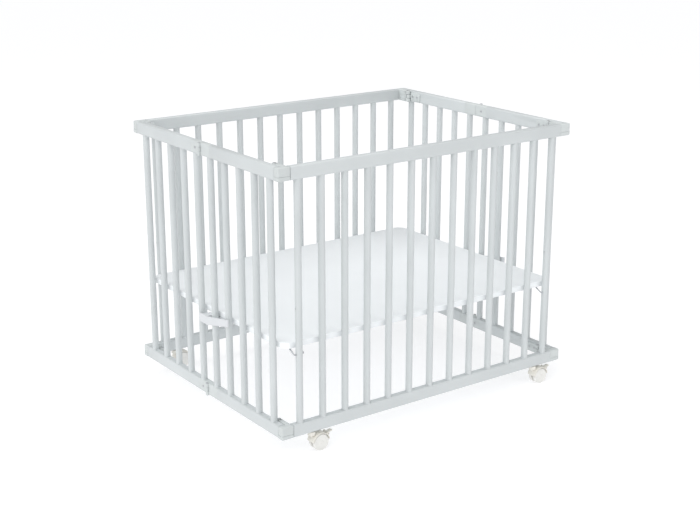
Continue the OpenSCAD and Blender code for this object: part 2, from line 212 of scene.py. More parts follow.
def cut_groove(part, height, width, depth):
    """Presses a level groove into all the sides of a piece."""
    lip = 0.15 * MM
    for level in (height, height + lip, height + width - lip, height + width):
        bmesh.ops.bisect_plane(
            part, geom=part.verts[:] + part.edges[:] + part.faces[:], dist=1e-7,
            plane_co=(0, 0, level), plane_no=(0, 0, 1),
        )
    low = Vector(min(v.co[i] for v in part.verts) for i in range(3))
    high = Vector(max(v.co[i] for v in part.verts) for i in range(3))
    centre, size = (low + high) / 2, high - low
    shrink = Matrix.Diagonal((1 - 2 * depth / size.x, 1 - 2 * depth / size.y, 1, 1))
    inner = [v for v in part.verts if height + lip / 2 < v.co.z < height + width - lip / 2]
    bmesh.ops.transform(
        part, verts=inner, matrix=Matrix.Translation(centre) @ shrink @ Matrix.Translation(-centre)
    )


def rounded_path(points, radius, steps=6):
    """Replaces each inner corner of a path by a short curve."""
    path = [points[0]]
    for before, corner, after in zip(points, points[1:], points[2:]):
        start = corner + (before - corner).normalized() * radius
        end = corner + (after - corner).normalized() * radius
        for i in range(steps + 1):
            t = i / steps
            path.append(start.lerp(corner, t).lerp(corner.lerp(end, t), t))
    return path + [points[-1]]


def add_wire(bm, points, radius, bend, sides=16):
    """Round wire along a path, with its corners bent to a radius."""
    path = rounded_path([Vector(p) for p in points], bend)
    ends = [2 * path[0] - path[1], *path, 2 * path[-1] - path[-2]]
    headings = [after - before for before, after in zip(ends, ends[2:])]
    part = bmesh.new()
    turn = Vector((0, 0, 1)).rotation_difference(headings[0]).to_matrix().to_4x4()
    bmesh.ops.create_circle(
        part, cap_ends=True, segments=sides, radius=radius, matrix=Matrix.Translation(path[0]) @ turn
    )
    ring = part.edges[:]
    for i in range(1, len(path)):
        grown = bmesh.ops.extrude_edge_only(part, edges=ring)["geom"]
        verts = [g for g in grown if isinstance(g, bmesh.types.BMVert)]
        ring = [g for g in grown if isinstance(g, bmesh.types.BMEdge) and set(g.verts) <= set(verts)]
        bmesh.ops.translate(part, verts=verts, vec=path[i] - path[i - 1])
        swing = headings[i - 1].rotation_difference(headings[i]).to_matrix()
        bmesh.ops.rotate(part, verts=verts, cent=path[i], matrix=swing)
    bmesh.ops.holes_fill(part, edges=ring, sides=0)
    join(bm, part)


def extrude_ring(part, edges, scale, drop):
    """Extrudes a loop of edges, scaled about the Z axis and moved down."""
    grown = bmesh.ops.extrude_edge_only(part, edges=edges)["geom"]
    verts = [g for g in grown if isinstance(g, bmesh.types.BMVert)]
    bmesh.ops.scale(part, verts=verts, vec=(scale, scale, 1))
    bmesh.ops.translate(part, verts=verts, vec=(0, 0, -drop))
    return [g for g in grown if isinstance(g, bmesh.types.BMEdge) and set(g.verts) <= set(verts)]


def add_screw(bm, seat, axis, head_r, shank_r, length):
    """A screw with a low domed head and a cross recess. It stands out along the axis."""
    dome, wall, recess = 0.5 * MM, 0.9 * MM, 1.1 * MM
    arm, half_w, flat_r = 0.5 * head_r, 0.14 * head_r, 0.74 * head_r
    part = bmesh.new()
    bmesh.ops.create_circle(part, segments=28, radius=flat_r)
    rim = part.edges[:]
    corner_points = [
        Matrix.Rotation(math.pi / 2 * k, 2) @ Vector(p)
        for k in range(4) for p in ((arm, -half_w), (arm, half_w), (half_w, half_w))
    ]
    cross = [part.verts.new((*p, 0)) for p in corner_points]
    edges = [part.edges.new(pair) for pair in zip(cross, cross[1:] + cross[:1])]
    bmesh.ops.triangle_fill(part, use_beauty=True, edges=rim + edges)
    bmesh.ops.holes_fill(part, edges=extrude_ring(part, edges, 0.9, recess), sides=0)
    rim = extrude_ring(part, rim, head_r / flat_r, dome)
    bmesh.ops.holes_fill(part, edges=extrude_ring(part, rim, 1, wall), sides=0)
    add_rod(part, (0, 0, -dome - wall), (0, 0, -length), shank_r, sides=16)
    turn = Vector((0, 0, 1)).rotation_difference(Vector(axis)).to_matrix().to_4x4()
    join(bm, part, Matrix.Translation(Vector(seat) + Vector(axis) * dome) @ turn)


# %% [markdown]
# ## From bmesh to a piece
#
# A finished piece rides on one of the model's bodies, so that it moves with the
# joints, and it stands for the plain CAD nodes that it replaces. Flat faces stay
# flat and round ones shade smoothly: edges sharper than 35 degrees are marked.

# %% Make a piece from a bmesh
SHARP = math.radians(35)


def make_piece(name, bm, finish, body, replaced=()):
    """Turns a bmesh into an object that rides on a body."""
    bmesh.ops.recalc_face_normals(bm, faces=bm.faces)
    mesh = bpy.data.meshes.new(name)
    bm.to_mesh(mesh)
    bm.free()
    mesh.shade_smooth()
    mesh.set_sharp_from_angle(angle=SHARP)
    mesh.materials.append(finish)
    piece = bpy.data.objects.new(name, mesh)
    scene.collection.objects.link(piece)
    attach(piece, body)
    if replaced:
        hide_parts(*replaced)
    return piece


def copy_node(node, edge=0.0, segments=2):
    """A bmesh copy of a CAD node: triangles merged to flat faces, corners rounded."""
    bm = bmesh.new()
    bm.from_mesh(frame["nodes"][node].data)
    bmesh.ops.remove_doubles(bm, verts=bm.verts, dist=2e-6)
    bmesh.ops.dissolve_limit(
        bm, angle_limit=math.radians(0.5), verts=bm.verts, edges=bm.edges, use_dissolve_boundaries=False
    )
    if edge > 0:
        sharp = [e for e in bm.edges if len(e.link_faces) == 2 and e.calc_face_angle() > SHARP]
        round_edges(bm, sharp, edge, segments)
    return bm


# %% [markdown]
# Most fittings come in fours. Each is modelled once, for the front left corner,
# and mirrored to the others. A node that holds several screws is taken apart into
# its solids, and each solid's box says where a detailed one goes.

# %% Mirroring, and the solids of a node


def at_corner(side, end):
    """The mirroring that takes a front left piece to another corner."""
    return Matrix.Diagonal((-1 if side == "right" else 1, -1 if end == "back" else 1, 1, 1))


def solids(node):
    """The boxes of a node's separate solids."""
    bm = copy_node(node)
    waiting, boxes = set(bm.verts), []
    while waiting:
        newest = [waiting.pop()]
        found = list(newest)
        while newest:
            near = {e.other_vert(v) for v in newest for e in v.link_edges} & waiting
            waiting -= near
            found += near
            newest = list(near)
        low = Vector(min(v.co[i] for v in found) for i in range(3))
        high = Vector(max(v.co[i] for v in found) for i in range(3))
        boxes.append((low, high))
    bm.free()
    return sorted(boxes, key=lambda box: tuple(round(c, 5) for c in box[0]))


def joint_place(name):
    """Where a joint of the record lies."""
    joints = frame["record"]["behaviour"]["joints"]
    return Vector(next(j["pos_m"] for j in joints if j["name"] == name))


# %% [markdown]
# ## Materials
#
# Satin paint on wood is not one flat colour. The grain still shows as fine
# ridges along each stick, the coat has a soft orange peel, and its gloss varies
# a little. The grain runs along X on the long rails, along Y on the end rails and
# upright on the bars, so the same paint is made three times with its noise
# stretched a different way.

# %% New materials and their noise


def new_material(name, colour, roughness, **sockets):
    """A Principled material. Values that are the same all over are set on the shader."""
    mat = bpy.data.materials.new(name)
    mat.use_nodes = True
    mat.diffuse_color = (*colour, 1)
    shader = mat.node_tree.nodes["Principled BSDF"]
    shader.inputs["Base Color"].default_value = (*colour, 1)
    shader.inputs["Roughness"].default_value = roughness
    for socket, value in sockets.items():
        shader.inputs[socket.replace("_", " ")].default_value = value
    return mat


def add_noise(mat, scale, stretch=(1, 1, 1), detail=3.0):
    """Noise on the piece's own coordinates, stretched along an axis."""
    tree = mat.node_tree
    where = tree.nodes.new("ShaderNodeTexCoord")
    mapping = tree.nodes.new("ShaderNodeMapping")
    mapping.inputs["Scale"].default_value = stretch
    noise = tree.nodes.new("ShaderNodeTexNoise")
    noise.inputs["Scale"].default_value = scale
    noise.inputs["Detail"].default_value = detail
    tree.links.new(where.outputs["Object"], mapping.inputs["Vector"])
    tree.links.new(mapping.outputs["Vector"], noise.inputs["Vector"])
    return noise.outputs["Fac"]


# %% [markdown]
# A noise does nothing until it drives something. These three let it move the
# colour between two near shades, the roughness between two values, and the
# surface itself up and down as a bump.

# %% Colour, roughness and bump from noise


def vary_colour(mat, fac, dark, light):
    """Drives the base colour between two near shades."""
    tree = mat.node_tree
    ramp = tree.nodes.new("ShaderNodeValToRGB")
    ramp.color_ramp.elements[0].position = 0.3
    ramp.color_ramp.elements[1].position = 0.7
    ramp.color_ramp.elements[0].color = (*dark, 1)
    ramp.color_ramp.elements[1].color = (*light, 1)
    tree.links.new(fac, ramp.inputs["Fac"])
    tree.links.new(ramp.outputs["Color"], tree.nodes["Principled BSDF"].inputs["Base Color"])


def vary_roughness(mat, fac, low, high):
    """Drives the roughness between two values."""
    tree = mat.node_tree
    spread = tree.nodes.new("ShaderNodeMapRange")
    spread.inputs["To Min"].default_value = low
    spread.inputs["To Max"].default_value = high
    tree.links.new(fac, spread.inputs["Value"])
    tree.links.new(spread.outputs["Result"], tree.nodes["Principled BSDF"].inputs["Roughness"])


def add_bump(mat, layers):
    """Stacks bumps, each a (height, distance in metres, strength)."""
    tree = mat.node_tree
    normal = None
    for height, distance, strength in layers:
        bump = tree.nodes.new("ShaderNodeBump")
        bump.inputs["Distance"].default_value = distance
        bump.inputs["Strength"].default_value = strength
        tree.links.new(height, bump.inputs["Height"])
        if normal is not None:
            tree.links.new(normal, bump.inputs["Normal"])
        normal = bump.outputs["Normal"]
    tree.links.new(normal, tree.nodes["Principled BSDF"].inputs["Normal"])


def shade(colour, factor):
    """The same colour, lighter or darker."""
    return tuple(min(1.0, c * factor) for c in colour)


# %% Satin paint, with the grain along each axis
PAINT = (0.585, 0.616, 0.622)
paints = {}
for axis, stretch in {"x": (0.03, 1, 1), "y": (1, 0.03, 1), "z": (1, 1, 0.03)}.items():
    paint = new_material(f"satin_paint_{axis}", PAINT, 0.42, Coat_Weight=0.15, Coat_Roughness=0.3)
    grain = add_noise(paint, 420, stretch, detail=5)
    cloud = add_noise(paint, 7, detail=2)
    peel = add_noise(paint, 650, detail=1)
    vary_colour(paint, cloud, shade(PAINT, 0.965), shade(PAINT, 1.03))
    vary_roughness(paint, grain, 0.34, 0.52)
    add_bump(paint, [(grain, 0.0004, 0.22), (peel, 0.0002, 0.12)])
    paints[axis] = paint
print("paint made for", len(paints), "grain directions")

# %% [markdown]
# The hinges are moulded plastic a little warmer than the paint, with the fine
# sparkle of a spark-eroded mould. The castors are glossier and cream, the floor
# is a smooth white board, and wire, pins and screws are plated steel.

# %% Plastics, board and steel
HINGE = (0.585, 0.618, 0.616)
hinge_plastic = new_material("hinge_plastic", HINGE, 0.45)
vary_colour(hinge_plastic, add_noise(hinge_plastic, 30), shade(HINGE, 0.97), shade(HINGE, 1.03))
vary_roughness(hinge_plastic, add_noise(hinge_plastic, 160), 0.38, 0.52)
add_bump(hinge_plastic, [(add_noise(hinge_plastic, 2400, detail=2), 0.0001, 0.25)])

BOARD = (0.900, 0.925, 0.940)
white_board = new_material("white_board", BOARD, 0.38)
vary_colour(white_board, add_noise(white_board, 4), shade(BOARD, 0.985), shade(BOARD, 1.015))
vary_roughness(white_board, add_noise(white_board, 90, detail=4), 0.32, 0.46)
add_bump(white_board, [(add_noise(white_board, 700, detail=3), 0.0001, 0.2)])

WHITE = (0.660, 0.680, 0.700)
white_plastic = new_material("white_plastic", WHITE, 0.36)
vary_colour(white_plastic, add_noise(white_plastic, 25), shade(WHITE, 0.98), shade(WHITE, 1.02))
vary_roughness(white_plastic, add_noise(white_plastic, 200), 0.3, 0.45)
add_bump(white_plastic, [(add_noise(white_plastic, 1800, detail=2), 0.0001, 0.2)])

CREAM = (0.780, 0.760, 0.700)
castor_plastic = new_material("castor_plastic", CREAM, 0.28, Coat_Weight=0.2)
vary_colour(castor_plastic, add_noise(castor_plastic, 60), shade(CREAM, 0.97), shade(CREAM, 1.03))
vary_roughness(castor_plastic, add_noise(castor_plastic, 220), 0.22, 0.38)
add_bump(castor_plastic, [(add_noise(castor_plastic, 1500, detail=2), 0.0001, 0.15)])

TREAD = (0.800, 0.795, 0.765)
wheel_plastic = new_material("wheel_plastic", TREAD, 0.4)
vary_colour(wheel_plastic, add_noise(wheel_plastic, 80), shade(TREAD, 0.95), shade(TREAD, 1.03))
vary_roughness(wheel_plastic, add_noise(wheel_plastic, 300), 0.3, 0.5)
add_bump(wheel_plastic, [(add_noise(wheel_plastic, 1200, detail=2), 0.0001, 0.2)])

STEEL = (0.52, 0.53, 0.55)
steel = new_material("plated_steel", STEEL, 0.3, Metallic=1.0)
vary_colour(steel, add_noise(steel, 300), shade(STEEL, 0.9), shade(STEEL, 1.08))
vary_roughness(steel, add_noise(steel, 900, detail=4), 0.22, 0.42)
add_bump(steel, [(add_noise(steel, 1600, detail=3), 0.0001, 0.15)])
other_finishes = (hinge_plastic, white_board, white_plastic, castor_plastic, wheel_plastic, steel)
print("finishes beside the paint:", ", ".join(finish.name for finish in other_finishes))

# %% [markdown]
# ## Camera, floor and light
#
# The camera stands to the front left, well above the top rail, with a long lens
# that keeps the rails nearly parallel. An empty could be tracked by a constraint,
# but the camera never moves, so its turn is worked out once from two points.

# %% Camera
CAMERA_PLACE = Vector((-2.085, -2.872, 1.431))
CAMERA_TARGET = Vector((-0.0021, 0.0, 0.3454))
camera_data = bpy.data.cameras.new("camera")
camera_data.lens = 66.65
camera_data.sensor_width = 36.0
camera_data.clip_end = 200
camera = bpy.data.objects.new("camera", camera_data)
camera.location = CAMERA_PLACE
camera.rotation_euler = (CAMERA_TARGET - CAMERA_PLACE).to_track_quat("-Z", "Y").to_euler()
scene.collection.objects.link(camera)
scene.camera = camera
print(f"camera {(CAMERA_TARGET - CAMERA_PLACE).length:.2f} m from its target")

# %% [markdown]
# The setting is a white studio sweep. A floor lit only by lamps would go grey
# away from them, so this one is pale and glows a little as well. Then only soft
# shadows stay under the rails and the board.

# %% Studio floor
scene.view_settings.view_transform = "Standard"
scene.view_settings.look = "None"

floor_bm = bmesh.new()
bmesh.ops.create_grid(floor_bm, x_segments=1, y_segments=1, size=60)
floor_mesh = bpy.data.meshes.new("studio_floor")
floor_bm.to_mesh(floor_mesh)
floor_bm.free()
studio_floor = bpy.data.objects.new("studio_floor", floor_mesh)
scene.collection.objects.link(studio_floor)
pale = new_material("studio_pale", (0.52, 0.52, 0.53), 0.9)
pale.node_tree.nodes["Principled BSDF"].inputs["Emission Color"].default_value = (1, 1, 1, 1)
pale.node_tree.nodes["Principled BSDF"].inputs["Emission Strength"].default_value = 0.56
floor_mesh.materials.append(pale)
print("studio floor", [round(v) for v in studio_floor.dimensions[:2]], "m")

# %% [markdown]
# Light comes from everywhere in a white studio: the world gives the even part, a
# very wide sun from the left makes one side of every bar brighter, and two
# softboxes fill the front and the tops of the rails.

# %% World and lamps
world = bpy.data.worlds.new("studio")
world.use_nodes = True
world.node_tree.nodes["Background"].inputs["Color"].default_value = (0.98, 0.99, 1.0, 1)
world.node_tree.nodes["Background"].inputs["Strength"].default_value = 0.46
scene.world = world


def add_softbox(name, place, target, size, power):
    """A square area light that looks at a point."""
    data = bpy.data.lights.new(name, "AREA")
    data.size = size
    data.energy = power
    lamp = bpy.data.objects.new(name, data)
    lamp.location = place
    lamp.rotation_euler = (Vector(target) - Vector(place)).to_track_quat("-Z", "Y").to_euler()
    scene.collection.objects.link(lamp)


sun = bpy.data.lights.new("key", "SUN")
sun.energy = 1.7
sun.angle = math.radians(78)
key = bpy.data.objects.new("key", sun)
key.rotation_euler = Vector((3.0, 1.0, -2.7)).to_track_quat("-Z", "Y").to_euler()
scene.collection.objects.link(key)
add_softbox("fill", (1.2, -3.4, 2.2), (0, 0, 0.4), 2.4, 26)
add_softbox("top", (0.0, 0.6, 4.2), (0, 0, 0.3), 3.2, 45)
print("lamps:", len(bpy.data.lights))

# %% [markdown]
# ## Rails and bars
#
# The rails are planed wood with edges rounded before painting, and the bars are
# turned dowels glued in blind holes. Their CAD shapes are right, so each one is
# copied and its triangles are merged, and the rails' corners are eased by half a
# millimetre. That easing is what catches the light along a real painted edge.

# %% Rails and bars of the long sides
EASE = 0.5 * MM
ENDS = ("front", "back")
SIDES = ("left", "right")

for end in ENDS:
    for stick in ("top_rail", "bottom_rail"):
        node = f"{end}_{stick}"
        make_piece(f"{node}_wood", copy_node(node, EASE), paints["x"], f"{end}_side", [node])
    for stick in ("bars", "corner_bars"):
        node = f"{end}_{stick}"
        make_piece(f"{node}_wood", copy_node(node), paints["z"], f"{end}_side", [node])
print(f"rails eased by {EASE / MM:.1f} mm")

# %% Rails and bars of the folding ends
for side in SIDES:
    for end in ENDS:
        half = f"{side}_{end}"
        for stick in ("top_rail", "bottom_rail"):
            node = f"{half}_{stick}"
            bm = copy_node(node, EASE)
            make_piece(f"{node}_wood", bm, paints["y"], f"{half}_half", [node])
        node = f"{half}_bars"
        make_piece(f"{node}_wood", copy_node(node), paints["z"], f"{half}_half", [node])

# %% [markdown]
# ## Corner caps
#
# A moulded cap closes each end of a long rail. It has the rail's own section,
# rounder at the free end, with a parting groove in its lower third and a lower lip
# that stands slightly proud. A screw under a flat plug holds it, and an arm reaches
# inwards to two of the three knuckles. The cap is one box rounded all over and then
# grooved, and the arm and knuckles are set into it as a mould would have them.

# %% One cap
CAP_ROUND = 3.6 * MM
LIP_PROUD = 0.35 * MM
GROOVE_W, GROOVE_DEPTH = 0.9 * MM, 0.8 * MM
PLUG_R, PLUG_PROUD, PLUG_LEVEL = 4 * MM, 0.5 * MM, 0.62
inner_face, outer_face = side_y - rail_w / 2, side_y + rail_w / 2


def corner_cap(foot):
    """The front left cap, on a rail whose underside is at a height."""
    bm = bmesh.new()
    cap = bmesh.new()
    low = (-cap_outer, -outer_face, foot)
    high = (-cap_inner, -inner_face, foot + rail_h)
    add_box(cap, low, high, CAP_ROUND, 5)
    cut_groove(cap, foot + knuckle_h, GROOVE_W, GROOVE_DEPTH)
    lip_top = foot + knuckle_h + 0.05 * MM
    lip = [v for v in cap.verts if v.co.z < lip_top and v.co.x < -cap_inner - 1 * MM]
    for axis, far in ((0, -cap_outer), (1, -outer_face)):
        outer = [v for v in lip if abs(v.co[axis] - far) < CAP_ROUND]
        push = Vector((0, 0, 0))
        push[axis] = -LIP_PROUD
        bmesh.ops.translate(cap, verts=outer, vec=push)
    join(bm, cap)
    plug_z = foot + rail_h * PLUG_LEVEL
    plug_root = (-cap_outer + 1 * MM, -side_y, plug_z)
    add_rod(bm, plug_root, (-cap_outer - PLUG_PROUD, -side_y, plug_z), PLUG_R, 0.3 * MM)
    return bm


print(f"plugs {2 * PLUG_R / MM:.0f} mm wide, grooves {GROOVE_W / MM:.1f} mm high")

# %% [markdown]
# The arm is a plain web as high as the rail, with two raised ribs that stiffen
# it. The upper and the lower third run on to the pivot and end in a knuckle each.
# The middle third stays open for the knuckle of the end rail's plate.

# %% The arm of a cap
ARM_LOW_X, ARM_HIGH_X = -(end_inner - knuckle_gap), -pivot_x + knuckle_r
ARM_ROOT, FINGER_ROOT = 3 * MM, 4 * MM
RIB_HALF, RIB_PROUD, RIB_SHORT = 0.8 * MM, 0.8 * MM, 3 * MM


def cap_arm(bm, foot):
    """The arm from a cap to the pivot, with the lower and the upper knuckle."""
    root = -inner_face - ARM_ROOT
    open_from = -pivot_y - knuckle_r - 2 * knuckle_gap
    add_box(bm, (ARM_LOW_X, root, foot), (ARM_HIGH_X, open_from, foot + rail_h), 1.2 * MM, 3)
    for z in (foot + rail_h / 3, foot + rail_h * 2 / 3):
        rib_low = (ARM_HIGH_X - 0.6 * MM, root, z - RIB_HALF)
        rib_high = (ARM_HIGH_X + RIB_PROUD, open_from - RIB_SHORT, z + RIB_HALF)
        add_box(bm, rib_low, rib_high, 0.4 * MM, 2)
    for z in (foot, foot + rail_h - knuckle_h):
        finger_low = (ARM_LOW_X, open_from - FINGER_ROOT, z)
        add_box(bm, finger_low, (ARM_HIGH_X, -pivot_y, z + knuckle_h), 1.0 * MM, 3)
        add_rod(
            bm, (-pivot_x, -pivot_y, z), (-pivot_x, -pivot_y, z + knuckle_h), knuckle_r, 0.9 * MM, 48
        )


# %% Caps on both long sides
rail_feet = [top - rail_h for top in rail_tops.values()]
for end in ENDS:
    bm = bmesh.new()
    for side in SIDES:
        for foot in rail_feet:
            part = corner_cap(foot)
            cap_arm(part, foot)
            join(bm, part, at_corner(side, end))
    make_piece(
        f"{end}_corner_caps", bm, hinge_plastic, f"{end}_side", [f"{end}_corner_fittings"]
    )
print("caps at heights", [round(foot, 3) for foot in rail_feet])

# %% [markdown]
# ## Corner hinge plates
#
# The leaf of each corner hinge is screwed to the inner face of an end rail, and its
# single knuckle fills the gap between the cap's two. The plate has rounded corners
# and a raised ring round each screw, which is where a moulding needs its thickness.

# %% Plates with one knuckle
PLATE_T, PLATE_RIM, PLATE_EDGE = 3.5 * MM, 4 * MM, 0.8 * MM
SCREW_HEAD_R, SCREW_SHANK_R = 3.5 * MM, 1.7 * MM
RING_W, RING_PROUD = 1.4 * MM, 0.7 * MM
plate_face = -end_inner + PLATE_T
plate_start = -pivot_y + knuckle_r + knuckle_gap
plate_end = corners("left_front_corner_hinges")[1].y
print(f"plates {(plate_end - plate_start) / MM:.1f} mm long, {PLATE_T / MM:.1f} mm thick")


def corner_plate(foot, screws):
    """The front left hinge plate of one rail."""
    bm = bmesh.new()
    low, high = (plate_start, foot + PLATE_RIM), (plate_end, foot + rail_h - PLATE_RIM)
    outline = rounded_outline(low, high, PLATE_RIM)
    add_slab(bm, outline, PLATE_T, Matrix.Translation((-end_inner, 0, 0)) @ FACE_X, PLATE_EDGE)
    z = foot + knuckle_h + 2 * knuckle_gap
    root_high = (plate_face, plate_start + 5 * MM, z + knuckle_h)
    add_box(bm, (-end_inner, -pivot_y + 1 * MM, z), root_high, PLATE_EDGE)
    neck_high = (-pivot_x + knuckle_r * 0.7, plate_start - 0.2 * MM, z + knuckle_h - 1 * MM)
    add_box(bm, (plate_face - 2 * MM, -pivot_y, z + 1 * MM), neck_high, PLATE_EDGE)
    add_rod(bm, (-pivot_x, -pivot_y, z), (-pivot_x, -pivot_y, z + knuckle_h), knuckle_r, PLATE_EDGE, 48)
    for y in screws:
        root, top = ((plate_face + x, y, foot + rail_h / 2) for x in (-1 * MM, RING_PROUD))
        add_rod(bm, root, top, SCREW_HEAD_R + RING_W, 0.4 * MM, 40)
    return bm


# %% [markdown]
# The screws could be one mesh copied to each place, but they point two ways: those
# of the plates and blocks stand on an inner face, and some come in from outside.
# Each solid of the CAD screws tells by its box which way it goes.

# %% Plates and their screws on the four end halves
for side in SIDES:
    for end in ENDS:
        half = f"{side}_{end}"
        mirror = at_corner(side, end)
        screw_boxes = [
            sorted((abs(low.x), abs(high.x))) + [-abs(low.y + high.y) / 2, (low.z + high.z) / 2]
            for low, high in solids(f"{half}_hinge_screws")
        ]
        in_plate = [box for box in screw_boxes if box[0] < end_inner - 1 * MM]
        plates, screws = bmesh.new(), bmesh.new()
        for foot in rail_feet:
            rows = [box[2] for box in in_plate if foot < box[3] < foot + rail_h]
            join(plates, corner_plate(foot, rows), mirror)
        for near, far, y, z in screw_boxes:
            from_outside = far > end_outer - 0.5 * MM
            axis = (-1, 0, 0) if from_outside else (1, 0, 0)
            in_ring = near < end_inner - 1 * MM
            seat = -far if from_outside else -near + (RING_PROUD if in_ring else 0)
            part = bmesh.new()
            add_screw(part, (seat, y, z), axis, SCREW_HEAD_R, SCREW_SHANK_R, far - near)
            join(screws, part, mirror)
        body = f"{half}_half"
        make_piece(
            f"{half}_hinge_plates", plates, hinge_plastic, body,
            [f"{half}_corner_hinges"],
        )
        make_piece(f"{half}_screws", screws, steel, body, [f"{half}_hinge_screws"])
print("screws on each half:", len(screw_boxes))

# %% [markdown]
# ## Middle blocks
#
# The two halves of an end meet in moulded blocks. Their shape follows from the
# knuckles that pass each other, so the CAD solid is copied and its edges are
# eased, a little more than those of the wood, as a mould leaves them.

# %% Middle blocks
BLOCK_EDGE = 0.6 * MM
for side in SIDES:
    for end in ENDS:
        half = f"{side}_{end}"
        node = f"{half}_middle_hinges"
        make_piece(
            f"{half}_middle_blocks", copy_node(node, BLOCK_EDGE, 3), hinge_plastic, f"{half}_half",
            [node],
        )
print(f"blocks eased by {BLOCK_EDGE / MM:.1f} mm")

# %% [markdown]
# ## Hinge pins
#
# A steel pin runs through each set of knuckles. The CAD pin is a bare rod. Low
# domed heads are turned onto both of its ends, because a cut edge is never left
# at the top of a child's pen. A spun outline gives a smoother dome than a
# flattened sphere, and costs no more faces.

# %% Pins with domed heads
PIN_HEAD = 1.1 * MM


def add_pin(bm, x, y, low, high, rod_r, head_r):
    """A hinge pin with a domed head at each end."""
    add_rod(bm, (x, y, low), (x, y, high), rod_r, 0.2 * MM, 32)
    dome = [(0, 0), (head_r, 0), (head_r, 0.4 * MM), (0.85 * head_r, 0.9 * MM)]
    dome += [(0.5 * head_r, 1.2 * MM), (0, 1.3 * MM)]
    add_turned(bm, dome, (x, y, high), (0, 0, 1), 32)
    add_turned(bm, dome, (x, y, low), (0, 0, -1), 32)


pin_groups = {"front_corner_pins": "front_side", "back_corner_pins": "back_side"}
pin_groups |= {f"{side}_middle_pins": f"{side}_front_half" for side in SIDES}
for node, body in pin_groups.items():
    bm = bmesh.new()
    for low, high in solids(node):
        centre = (low + high) / 2
        add_pin(bm, centre.x, centre.y, low.z, high.z, pin_r, pin_r + PIN_HEAD)
    make_piece(f"{node}_domed", bm, steel, body, [node])
print("pins:", sum(len(solids(node)) for node in pin_groups))

# %% [markdown]
# ## The floor
#
# Each leaf is a coated board with softly rounded edges. Along the seam the two
# boards almost touch and their edges are nearly square, so the floor reads as one
# sheet. So the seam's corners are first drawn together, and only the other edges
# are bevelled.

# %% Floor leaves
SEAM_REACH, SEAM_GROW = 5 * MM, 0.4 * MM
BOARD_EDGE = 1.6 * MM
for end in ENDS:
    node = f"{end}_floor_leaf"
    bm = copy_node(node)
    seam = [v for v in bm.verts if abs(v.co.y) < SEAM_REACH]
    rim = [e for e in bm.edges if e.calc_face_angle(0) > SHARP and not set(e.verts) <= set(seam)]
    bmesh.ops.translate(bm, verts=seam, vec=(0, SEAM_GROW if end == "front" else -SEAM_GROW, 0))
    round_edges(bm, rim, BOARD_EDGE, 4)
    make_piece(f"{end}_floor_board", bm, white_board, f"{end}_floor", [node])
print(f"board edges rounded by {BOARD_EDGE / MM:.1f} mm, {len(rim)} of them on a leaf")

# %% [markdown]
# Below the floor are the ribs that hold the hooks' wire, and at each end a white
# yoke grips the two middle bars from outside. Both are small mouldings whose CAD
# shapes are right, so they only get round edges, wider ones where a hand can
# reach them.

# %% Ribs and yokes
WIRE_RIB_EDGE, YOKE_EDGE = 0.7 * MM, 1.1 * MM
for end in ENDS:
    node = f"{end}_floor_clips"
    make_piece(
        f"{end}_wire_ribs", copy_node(node, WIRE_RIB_EDGE, 3), white_plastic,
        f"{end}_floor", [node],
    )
make_piece(
    "floor_yokes_moulded", copy_node("floor_yokes", YOKE_EDGE, 3), white_plastic,
    "front_floor", ["floor_yokes"],
)
print("yokes:", len(solids("floor_yokes")))

# %% [markdown]
# Bent wire carries the floor. It runs through the hole in a corner bar, and on
# each side of the bar a leg rises to the underside of the board, where a cross
# piece joins the two. A curve with a round bevel could draw it, but its bends
# would need handles set by hand. A ring extruded along the path turns at each
# bend by itself.

# %% Wire hooks
WIRE_R, WIRE_BEND = 2.0 * MM, 3.5 * MM
BEND_IN = 10 * MM
CORNER_BALL_R = 2.25 * MM
corner_bars_high = corners("front_corner_bars")[1]
bar_r = corner_bars_high.y + side_y
corner_bar_x = corner_bars_high.x - bar_r
hooks_low, hooks_high = corners("front_floor_hooks")
leg = hooks_high.x - CORNER_BALL_R - corner_bar_x
hole_z = hooks_low.z + CORNER_BALL_R
under_z = hooks_high.z - CORNER_BALL_R
reach_y = hooks_high.y - CORNER_BALL_R
bend_y = corners("front_floor_leaf")[0].y + BEND_IN
for end in ENDS:
    bm = bmesh.new()
    for side in SIDES:
        loop = [(0, -side_y, hole_z), (leg, -side_y, hole_z), (leg, bend_y, under_z), (leg, reach_y, under_z)]
        loop += [(-x, y, z) for x, y, z in reversed(loop)]
        part = bmesh.new()
        add_wire(part, [(x - corner_bar_x, y, z) for x, y, z in loop], WIRE_R, WIRE_BEND)
        join(bm, part, at_corner(side, end))
    make_piece(f"{end}_hook_wires", bm, steel, f"{end}_side", [f"{end}_floor_hooks"])
print(f"hooks enter the bars at {hole_z:.3f} m and end under the floor at {under_z:.3f} m")

# %% [markdown]
# ## Castors
#
# A twin-wheel castor is a boss on a steel stem, a curved hood over both wheels
# and a wall between them that carries the axle. A hood could be cut from a tube,
# but then its edges would be sharp. Here it is a rounded strip spun round the
# axle through part of a turn, so its edges are soft all along.

# %% Sizes of a castor
stem_place = joint_place("front_left_swivel")
axle_place = joint_place("front_left_roll")
trail = axle_place.x - stem_place.x
wheels_low, wheels_high = corners("front_left_castor_wheels")
wheel_r = (wheels_high.z - wheels_low.z) / 2
wheels_half = (wheels_high.y - wheels_low.y) / 2
boss_top = corners("back_left_castor_housing")[1].z
HOOD_GAP, HOOD_T, HOOD_FOOT = 2 * MM, 2.5 * MM, 4 * MM
CREST_T, CREST_FOOT = 1.5 * MM, 6 * MM
BOSS_R, HUB_R = 10 * MM, 6.5 * MM
WALL_T, WALL_SLOPE = 8 * MM, math.radians(39)
LUG_NEAR, LUG_FAR, LUG_R = 7.5 * MM, 10.5 * MM, 4 * MM
hood_r = wheel_r + HOOD_GAP
hood_half = wheels_half + 0.5 * MM
print(f"castor wheels {2 * wheel_r / MM:.0f} mm, trail {trail / MM:.0f} mm, boss to {boss_top:.3f} m")

